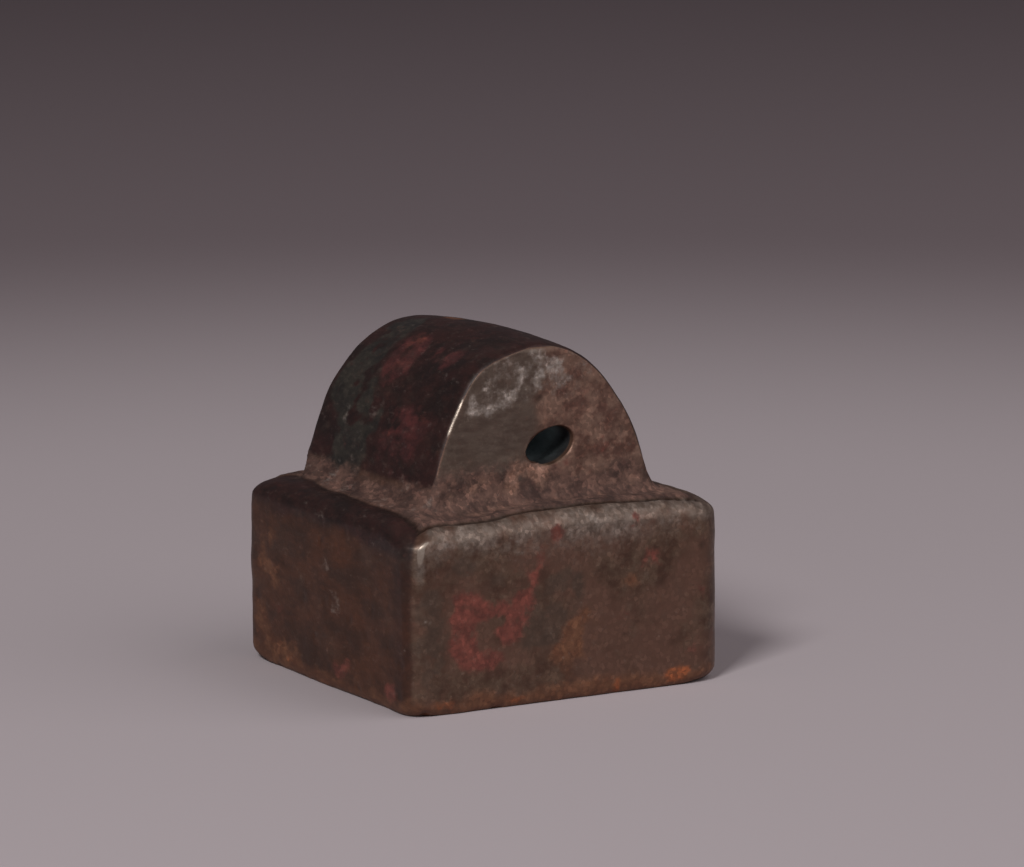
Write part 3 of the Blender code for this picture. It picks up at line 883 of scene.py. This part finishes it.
seal = bpy.data.objects.new("seal_casting", make_mesh("seal_casting", shaped, zones))
bpy.context.scene.collection.objects.link(seal)
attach(seal, "root")
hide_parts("seal")
print("made", seal.name, "with", len(seal.data.polygons), "faces")

# %% [markdown]
# The bronze. Polished bronze is golden, but a buried one grows a skin of oxides: brown to black,
# glassy where it was handled, dull where it crumbled. That is neither bare metal nor paint, so the
# shader is part metal: dark, warm and reflecting, with the stains laid over it one after another.

# %% Colours and a helper for nodes


def colour(hex_code):
    """Linear colour of an sRGB hex code: c / 12.92 when dark, else ((c + 0.055) / 1.055) to the 2.4."""
    parts = [int(hex_code[k:k + 2], 16) / 255 for k in (1, 3, 5)]
    return tuple(c / 12.92 if c <= 0.04045 else ((c + 0.055) / 1.055) ** 2.4 for c in parts) + (1,)


def add(tree, kind, links, take=0, **settings):
    """Add a node, set it up, and return one of its outputs. Links maps inputs to values or outputs."""
    node = tree.nodes.new("ShaderNode" + kind)
    for name, value in settings.items():
        setattr(node, name, value)
    for socket, value in links.items():
        if isinstance(value, bpy.types.NodeSocket):
            tree.links.new(value, node.inputs[socket])
        else:
            node.inputs[socket].default_value = value
    return node.outputs[take]


MIX_FACTOR, MIX_FLOATS, MIX_COLOURS = 0, (2, 3), (6, 7)
MIX_COLOUR_OUT = 2


def blend(tree, share, low, high):
    """Low where share is 0 and high where it is 1, for colours or for plain numbers."""
    is_colour = isinstance(high, tuple) or getattr(high, "type", "") == "RGBA"
    a, b = MIX_COLOURS if is_colour else MIX_FLOATS
    kind = "RGBA" if is_colour else "FLOAT"
    take = MIX_COLOUR_OUT if is_colour else 0
    return add(tree, "Mix", {MIX_FACTOR: share, a: low, b: high}, take, data_type=kind)


def waves(tree, place, size, detail=3.0, roughness=0.6):
    """Noise from 0 to 1 with waves of a size in millimetres."""
    links = {"Vector": place, "Scale": 1 / (size * MM), "Detail": detail, "Roughness": roughness}
    return add(tree, "TexNoise", links)


def sharpen(tree, value, low, high):
    """A soft step of a value from low to high."""
    links = {"Value": value, "From Min": low, "From Max": high}
    return add(tree, "MapRange", links, interpolation_type="SMOOTHSTEP")


def sums(tree, a, b, c, operation="MULTIPLY_ADD"):
    """a times b plus c, or another three-number operation."""
    return add(tree, "Math", {0: a, 1: b, 2: c}, operation=operation)


print("deep brown is", [round(part, 4) for part in colour("#3a2a20")[:3]])

# %% [markdown]
# Each stain's attribute changes over a whole mesh cell. Adding fine noise before a steep step gives
# it the broken, grainy edge that corrosion has. Later stains lie over earlier ones.

# %% The patinated bronze
CRUMB_SIZE = 0.24
PINHOLE_SPACING = 0.5
BUMP_STRENGTH = 0.6
BUMP_DEPTH = 0.07


def patinated_bronze():
    """Bronze under a dark brown patina, with dull corrosion and rubbed places."""
    material = bpy.data.materials.new("patinated_bronze")
    material.use_nodes = True
    tree = material.node_tree
    shader = tree.nodes["Principled BSDF"]

    def scaled_by(where, factors):
        """A place with each of its three coordinates multiplied by its own factor."""
        return add(tree, "VectorMath", {0: where, 1: factors}, "Vector", operation="MULTIPLY")

    place = add(tree, "TexCoord", {}, "Object")
    # Stains are drawn out along the knob, the way that hands and a cord rub it.
    place = scaled_by(place, (1, 0.55, 1))
    cloud = waves(tree, place, 5.0, 3.0)
    mottle = waves(tree, place, 1.2, 5.0, 0.65)
    grain = waves(tree, place, 0.3, 3.0, 0.6)
    # Cells bent by noise of a third of a millimetre look like crumbs, not like tiles.
    bends = add(tree, "TexNoise", {"Vector": place, "Scale": 1 / (0.3 * MM)}, "Color")
    shift = add(tree, "VectorMath", {0: bends, "Scale": 0.12 * MM}, "Vector", operation="SCALE")
    bent_place = add(tree, "VectorMath", {0: place, 1: shift}, "Vector", operation="ADD")
    # Squeezed upright, noise turns into the fine level streaks of the knob's smooth end.
    squeezed = scaled_by(place, (1, 1, 3))

    def zone(name):
        """One of the mesh's float attributes."""
        return add(tree, "Attribute", {}, "Fac", attribute_name=name)

    def ragged(name, size, amount, low, high):
        """A zone whose edge is broken by noise: attribute + amount * (noise - 1/2), through a soft step."""
        shifted = sums(tree, waves(tree, place, size, 5.0, 0.7), 2 * amount, zone(name))
        return sharpen(tree, shifted, low + amount, high + amount)

    def crumbs_of(size):
        """Distance to the middle of a bent cell of a size in mm, and the cell's own random number."""
        distance = add(tree, "TexVoronoi", {"Vector": bent_place, "Scale": 1 / (size * MM)})
        return distance, distance.node.outputs["Color"]

    base = blend(tree, sharpen(tree, mottle, 0.35, 0.65), colour("#523a2f"), colour("#6b5647"))
    base = blend(tree, sharpen(tree, cloud, 0.42, 0.62), base, colour("#6e5144"))
    rough = blend(tree, mottle, 0.36, 0.54)
    metal = blend(tree, cloud, 0.5, 0.7)
    grit = blend(tree, mottle, 0.1, 0.3)

    # Zone, edge noise in mm and its amount, edge from and to, two colours, their size in mm, then
    # roughness, metallic and grit: how much the crumbs differ in brightness.
    coats = [
        ("brown_and_shaded_side", 2.0, 0.3, 0.2, 0.8, "#40281c", "#563423", 1.8, 0.52, 0.35, 0.15),
        ("film", 1.5, 0.3, 0.1, 0.9, "#371f1c", "#251816", 1.6, 0.52, 0.3, 0.2),
        ("deep_olive", 1.3, 0.5, 0.1, 0.9, "#23201d", "#322e28", 1.2, 0.5, 0.1, 0.3),
        ("red_film", 0.9, 0.8, 0.1, 1.1, "#3f2120", "#562a28", 0.8, 0.5, 0.15, 0.3),
        ("smooth_end", 2.2, 0.7, 0.0, 1.1, "#5a4b42", "#685a50", 1.5, 0.42, 0.55, 0.1),
        ("dry", 2.0, 0.7, 0.0, 1.1, "#55362c", "#7c5f51", 1.3, 0.68, 0.15, 0.4),
        ("olive", 1.2, 0.5, 0.1, 1.1, "#4f3e34", "#5e4a3e", 0.9, 0.5, 0.45, 0.2),
        # The worn coat is rubbed metal and, on the rim, a painted sheen.
        ("worn", 0.6, 0.6, 0.0, 1.1, "#69594f", "#897a70", 0.5, 0.47, 0.45, 0.45),
        # The next coat is the painted highlight: pale and glossy.
        ("painted_highlight", 0.8, 0.1, 0.3, 0.7, "#9a8c80", "#a89b8f", 0.6, 0.33, 0.6, 0.1),
        ("crust", 0.6, 0.4, 0.25, 0.8, "#402a24", "#674b41", 1.2, 0.85, 0.0, 0.5),
        ("tan", 0.6, 0.5, 0.1, 1.0, "#725244", "#8e6c5d", 0.5, 0.8, 0.0, 0.6),
        ("cuprite", 0.7, 0.9, 0.1, 1.1, "#63352c", "#80453a", 0.8, 0.55, 0.25, 0.25),
        ("ochre", 1.0, 0.5, 0.1, 1.0, "#603b28", "#744d36", 0.7, 0.6, 0.2, 0.3),
        ("rust", 0.5, 0.5, 0.1, 1.0, "#75452a", "#94502d", 0.4, 0.75, 0.05, 0.5),
        ("pale", 0.45, 0.8, 0.1, 1.1, "#877a70", "#a79c95", 0.25, 0.6, 0.2, 0.5),
        # The last two coats are the hole's painted shade and its painted light.
        ("inner", 0.8, 0.1, 0.3, 0.7, "#1a1a1c", "#232425", 0.8, 0.6, 0.0, 0.1),
        ("painted_hole_light", 0.8, 0.05, 0.0, 1.0, "#a4b6b9", "#b1c0c2", 0.8, 0.9, 0.0, 0.1),
    ]
    for name, size, amount, low, high, dark, light, tint_size, *finish in coats:
        share = ragged(name, size, amount, low, high)
        tint_place = squeezed if name == "smooth_end" else place
        tint_noise = sharpen(tree, waves(tree, tint_place, tint_size, 4.0, 0.65), 0.36, 0.64)
        base = blend(tree, share, base, blend(tree, tint_noise, colour(dark), colour(light)))
        finish = zip((rough, metal, grit), finish)
        rough, metal, grit = [blend(tree, share, old, new) for old, new in finish]
    fine_distance, fine_number = crumbs_of(CRUMB_SIZE)
    hole_distance, hole_number = crumbs_of(PINHOLE_SPACING)
    # Most crumbs are a little dark and few are bright: the number to the third power, less its mean.
    cubed = add(tree, "Math", {0: fine_number, 1: 3.0}, operation="POWER")
    brighter = sums(tree, sums(tree, cubed, 2.0, -0.5), grit, 1.0)
    base = add(tree, "VectorMath", {0: base, "Scale": brighter}, "Vector", operation="SCALE")
    # A pinhole is deep where its cell's number is high, and few cells in smooth clouds have one.
    near_middle, few_cells = sharpen(tree, hole_distance, 0.34, 0.08), sharpen(tree, hole_number, 0.6, 1.0)
    pinholes = sums(tree, near_middle, few_cells, 0.0)
    pinholes = sums(tree, pinholes, sharpen(tree, cloud, 0.35, 0.65), 0.0)
    dark = sums(tree, pinholes, 0.6, zone("pit"))
    base = blend(tree, sharpen(tree, dark, 0.1, 1.4), base, colour("#241812"))

    crumbs = sums(tree, zone("crust"), sharpen(tree, fine_distance, 0.7, 0.0), 0.0)
    height = sums(tree, grain, 0.25, sums(tree, crumbs, 0.35, sums(tree, mottle, 0.45, 0.0)))
    height = sums(tree, pinholes, -0.8, height)
    links = {"Strength": BUMP_STRENGTH, "Distance": BUMP_DEPTH * MM, "Height": height}
    bump = add(tree, "Bump", links)
    for socket, value in {"Base Color": base, "Roughness": rough, "Metallic": metal, "Normal": bump}.items():
        tree.links.new(value, shader.inputs[socket])
    return material


seal.data.materials.append(patinated_bronze())
print("material has", len(seal.data.materials[0].node_tree.nodes), "nodes")

# %% [markdown]
# The stage: a wide pale floor with a painted pool of light: its grey darkens away from the seal, as
# falling-off light would darken it. The camera looks down at under ten degrees, so the whole
# background is this floor.

# %% Floor
FLOOR_REACH = 3.0
FLOOR_DROP = 0.02
NEAR_GREY, FAR_GREY = 0.075, 0.24


def floor_with_painted_light_pool():
    """Matt floor with a painted pool of light: its grey falls off with the distance from the seal."""
    material = bpy.data.materials.new("floor_painted_light_pool")
    material.use_nodes = True
    tree = material.node_tree
    shader = tree.nodes["Principled BSDF"]
    place = add(tree, "TexCoord", {}, "Object")
    distance = add(tree, "VectorMath", {0: place}, "Value", operation="LENGTH")
    far_away = sharpen(tree, distance, NEAR_GREY, FAR_GREY)
    grey = blend(tree, far_away, colour("#b7aeb2"), colour("#857a7e"))
    tree.links.new(grey, shader.inputs["Base Color"])
    shader.inputs["Roughness"].default_value = 0.9
    shader.inputs["Specular IOR Level"].default_value = 0.1
    return material


floor_mesh = bpy.data.meshes.new("floor")
floor_signs = [(-1, -1), (1, -1), (1, 1), (-1, 1)]
floor_corners = [(a * FLOOR_REACH, b * FLOOR_REACH, -FLOOR_DROP * MM) for a, b in floor_signs]
floor_mesh.from_pydata(floor_corners, [], [(0, 1, 2, 3)])
floor_mesh.materials.append(floor_with_painted_light_pool())
floor = bpy.data.objects.new("floor", floor_mesh)
bpy.context.scene.collection.objects.link(floor)
print("floor is", 2 * FLOOR_REACH, "m wide")

# %% [markdown]
# The camera stands 31 cm away, 30 degrees to the left of the front and a little over nine degrees
# up, with a long lens. It is aimed so that a point at the seal's middle lands on its pixel in the photo.

# %% Camera
IMAGE_WIDTH, IMAGE_HEIGHT = 1024, 867
AIM_PIXEL = (480.116, 529.51)
AIM_POINT = np.array([0.0, 0.0, 9.0])
CAMERA_AZIMUTH = math.radians(29.952)
CAMERA_ELEVATION = math.radians(9.366)
CAMERA_ROLL = math.radians(-0.191)
CAMERA_DISTANCE = 310.0
FOCAL_PIXELS = 4800
SENSOR_WIDTH = 36.0


def camera_axes():
    """Right, up and back of the camera: back points from the seal to the lens, then a small roll."""
    level = np.array([-math.sin(CAMERA_AZIMUTH), -math.cos(CAMERA_AZIMUTH), 0])
    back = level * math.cos(CAMERA_ELEVATION) + np.array([0, 0, math.sin(CAMERA_ELEVATION)])
    right = np.cross(-back, [0, 0, 1])
    right /= np.linalg.norm(right)
    up = np.cross(right, -back)
    roll = math.cos(CAMERA_ROLL), math.sin(CAMERA_ROLL)
    return roll[0] * right + roll[1] * up, roll[0] * up - roll[1] * right, back


right, up, back = camera_axes()
off_right = (AIM_PIXEL[0] - IMAGE_WIDTH / 2) / FOCAL_PIXELS * CAMERA_DISTANCE
off_up = (IMAGE_HEIGHT / 2 - AIM_PIXEL[1]) / FOCAL_PIXELS * CAMERA_DISTANCE
eye = (AIM_POINT + back * CAMERA_DISTANCE - right * off_right - up * off_up) * MM

camera_data = bpy.data.cameras.new("camera")
camera_data.sensor_width = SENSOR_WIDTH
camera_data.lens = FOCAL_PIXELS / IMAGE_WIDTH * SENSOR_WIDTH
camera_data.clip_start = 0.01
camera = bpy.data.objects.new("camera", camera_data)
bpy.context.scene.collection.objects.link(camera)
turn_matrix = Matrix(np.stack([right, up, back], axis=1).tolist()).to_4x4()
camera.matrix_world = Matrix.Translation(eye.tolist()) @ turn_matrix
bpy.context.scene.camera = camera
print("camera at", (eye / MM).round(1), "mm, lens", round(camera_data.lens, 2), "mm")

# %% [markdown]
# Two soft boxes light it. A wide one high at the front right makes the broad sheen on the rim, and a
# small one high at the front left draws the bright edges and lays a soft shadow to the right.

# %% Lights


def soft_box(name, direction, distance, size, power, hex_code):
    """A square area light at a distance in metres along a direction, turned to face the seal."""
    lamp = bpy.data.lights.new(name, "AREA")
    lamp.size = size
    lamp.energy = power
    lamp.color = colour(hex_code)[:3]
    light = bpy.data.objects.new(name, lamp)
    toward = Vector(direction).normalized()
    facing = toward.to_track_quat("Z", "Y").to_matrix().to_4x4()
    light.matrix_world = Matrix.Translation(toward * distance) @ facing
    bpy.context.scene.collection.objects.link(light)


soft_box("wide_soft_box", (0.5, -0.62, 0.75), distance=0.75, size=0.8, power=2.1, hex_code="#fffaf9")
soft_box("small_key", (-0.61, -0.46, 0.64), distance=0.7, size=0.17, power=3.0, hex_code="#fffdfb")

world = bpy.data.worlds.new("dim_studio")
world.use_nodes = True
background = world.node_tree.nodes["Background"]
background.inputs["Color"].default_value = colour("#6c6468")
background.inputs["Strength"].default_value = 0.6
bpy.context.scene.world = world
bpy.context.scene.view_settings.view_transform = "Standard"
